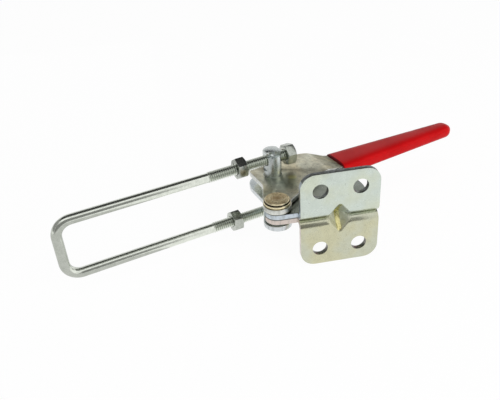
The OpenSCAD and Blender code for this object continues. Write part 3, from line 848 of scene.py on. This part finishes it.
def grip_ring(along, shrink=0, size=1):
    """Points of one rounded section: shrink pulls its outline in, size scales it."""
    below = GRIP_DIRECTION.cross(Vector((0, 0, 1)))
    half_depth = grip_depth(along) / 2
    centre = GRIP_ROOT + GRIP_DIRECTION * along + below * (half_depth + GRIP_INSET)
    corner = 2 / (ROOT_POWER + (TIP_POWER - ROOT_POWER) * along / GRIP_LENGTH)
    ring = []
    for index in range(RING_POINTS):
        turn = math.tau * (index + 0.5) / RING_POINTS
        down, side = (math.copysign(abs(part) ** corner, part)
                      for part in (math.cos(turn), math.sin(turn)))
        ring.append(centre + below * (half_depth - shrink) * size * down
                    + Vector((0, 0, (GRIP_HALF_T - shrink) * size * side)))
    return ring


def angles(first, last, step):
    """A range of degrees, in radians."""
    return [math.radians(angle) for angle in range(first, last, step)]


def grip_rings():
    """Sections from inside the mouth, over the lip and along the body to the round tip."""
    mouth = [grip_ring(MOUTH_DEPTH, SKIN), grip_ring(0, SKIN)]
    lip = [grip_ring(LIP_ROUNDING * (1 - math.cos(turn)), LIP_ROUNDING * (1 - math.sin(turn)))
           for turn in angles(0, 91, LIP_DEGREES)]
    straight = GRIP_LENGTH - GRIP_TIP
    body = [grip_ring(LIP_ROUNDING + (straight - LIP_ROUNDING) * row / GRIP_ROWS)
            for row in range(1, GRIP_ROWS + 1)]
    tip = [grip_ring(straight + GRIP_TIP * math.sin(turn), 0, math.cos(turn))
           for turn in angles(TIP_DEGREES, 90, TIP_DEGREES)]
    return mouth + lip + body + tip


def lofted(name, rings):
    """A closed skin over rings that have as many points each."""
    shape = bmesh.new()
    rows = [[shape.verts.new(point) for point in ring] for ring in rings]
    for row, following in zip(rows, rows[1:]):
        for index in range(RING_POINTS):
            after = (index + 1) % RING_POINTS
            shape.faces.new((row[index], row[after], following[after], following[index]))
    shape.faces.new(reversed(rows[0]))
    shape.faces.new(rows[-1])
    mesh = bpy.data.meshes.new(name)
    shape.to_mesh(mesh)
    shape.free()
    return mesh


dipped = lofted("grip_dipped", grip_rings())
outward_faces(dipped, VINYL_SMOOTH_ANGLE)
added_piece("grip_dipped", dipped, "grip", vinyl)
print(f"grip_dipped: {len(dipped.polygons)} faces")

# %% [markdown]
# ## The studio
# The catalogue picture floats on white, and yet its steel shows dark lines. Those lines are
# the unlit parts of the studio, seen in the metal. So the floor and the sky are white to the
# camera and to reflections, and five cards stand in for what was dark: one round the lens, one
# on the left, one under the loop, and a screen and a flag behind the clamp. The cards are
# hidden from the camera and cast no shadow. The floor mixes some real shading into its white,
# so that the clamp still has a shadow. Lamps alone would light the steel, but they would not
# draw its lines.

# %% Studio helpers
FLOOR_Z = cad_box[0].z
FLOOR_HALF = 3
FLOOR_PAINT = (0.86, 0.86, 0.86, 1)
FLOOR_GLOW = 0.9
GLOW_STRENGTH = 1.05


def seen_plainly(graph):
    """1 for a ray of the camera, a reflection or a view through glass, and 0 for light."""
    rays = {name: graph.node("ShaderNodeLightPath", {}, {}, name)
            for name in ("Is Camera Ray", "Is Glossy Ray", "Is Transmission Ray")}
    camera_ray, glossy_ray, glass_ray = rays.values()
    return camera_ray.maths("MAXIMUM", glossy_ray).maths("MAXIMUM", glass_ray)


def shown(graph, shader):
    graph.feed(graph.tree.nodes["Material Output"].inputs["Surface"], shader)


def white_floor():
    paint = Finish("white_floor", Base_Color=FLOOR_PAINT, Roughness=0.9)
    shaded = Wire(paint, paint.shader.outputs[0])
    glow = paint.node("ShaderNodeEmission", {}, {"Strength": GLOW_STRENGTH})
    shown(paint, paint.node("ShaderNodeMixShader", {}, {
        0: seen_plainly(paint) * FLOOR_GLOW, 1: shaded, 2: glow}))
    return paint.material


def grey_card(name, level):
    card = Finish(name)
    shown(card, card.node("ShaderNodeEmission", {}, {"Strength": level}))
    return card.material


def panel(name, corners, material):
    """A flat stage piece from its corners in metres."""
    mesh = bpy.data.meshes.new(name)
    mesh.from_pydata(corners, [], [tuple(range(len(corners)))])
    mesh.materials.append(material)
    made = bpy.data.objects.new(name, mesh)
    bpy.context.collection.objects.link(made)
    return made


def between(first, second, low, high):
    """Corners of a panel over the line from first to second, with a low and a high edge."""
    return [(*first, low), (*second, low), (*second, high), (*first, high)]


def level_with(low_x, high_x, low_y, high_y, height):
    """Corners of a level panel."""
    return [(low_x, low_y, height), (high_x, low_y, height),
            (high_x, high_y, height), (low_x, high_y, height)]


# %% Floor and cards
panel("floor", level_with(-FLOOR_HALF, FLOOR_HALF, -FLOOR_HALF, FLOOR_HALF, FLOOR_Z), white_floor())
CARDS = {
    "lens_card": (between((-0.75, -0.43), (0.2, -0.43), FLOOR_Z, 0.5), 0.25),
    "left_card": (between((-0.9, 0.9), (-0.9, -0.5), 0.05, 0.95), 0.3),
    "under_card": (level_with(-0.6, -0.09, -0.4, 0.5, FLOOR_Z + MM), 0.62),
    "rear_screen": (between((FLOOR_HALF, 1.6), (-FLOOR_HALF, 1.6), FLOOR_Z, 1.1), 0.8),
    "rear_flag": ([(FLOOR_HALF, 1.3, 0.95), (-FLOOR_HALF, 1.3, 0.95),
                   (-FLOOR_HALF, -0.25, 1.6), (FLOOR_HALF, -0.25, 1.6)], 0.06)}
for name, (corners, level) in CARDS.items():
    card = panel(name, corners, grey_card(name, level))
    card.visible_camera = card.visible_diffuse = card.visible_shadow = False
    print(f"{name}: level {level}")

# %% Light
WORLD_LIGHT = 0.32
world = bpy.data.worlds.new("white_studio")
world.use_nodes = True
bpy.context.scene.world = world
sky = Graph(world.node_tree)
background = world.node_tree.nodes["Background"]
background.inputs["Color"].default_value = (1, 1, 1, 1)
sky.feed(background.inputs["Strength"], seen_plainly(sky) * (1 - WORLD_LIGHT) + WORLD_LIGHT)


def soft_box(name, place, size, power):
    """A square lamp that points at the clamp and that no reflection shows."""
    light = bpy.data.lights.new(name, "AREA")
    light.size = size
    light.energy = power
    lamp = bpy.data.objects.new(name, light)
    bpy.context.collection.objects.link(lamp)
    lamp.location = place
    lamp.rotation_mode = "QUATERNION"
    lamp.rotation_quaternion = Vector(place).to_track_quat("Z", "Y")
    lamp.visible_glossy = False


soft_box("front_box", (0.6, -0.8, 0.35), 0.7, 6)
soft_box("top_box", (-0.2, -0.3, 1.2), 0.7, 1)
print("studio lit")
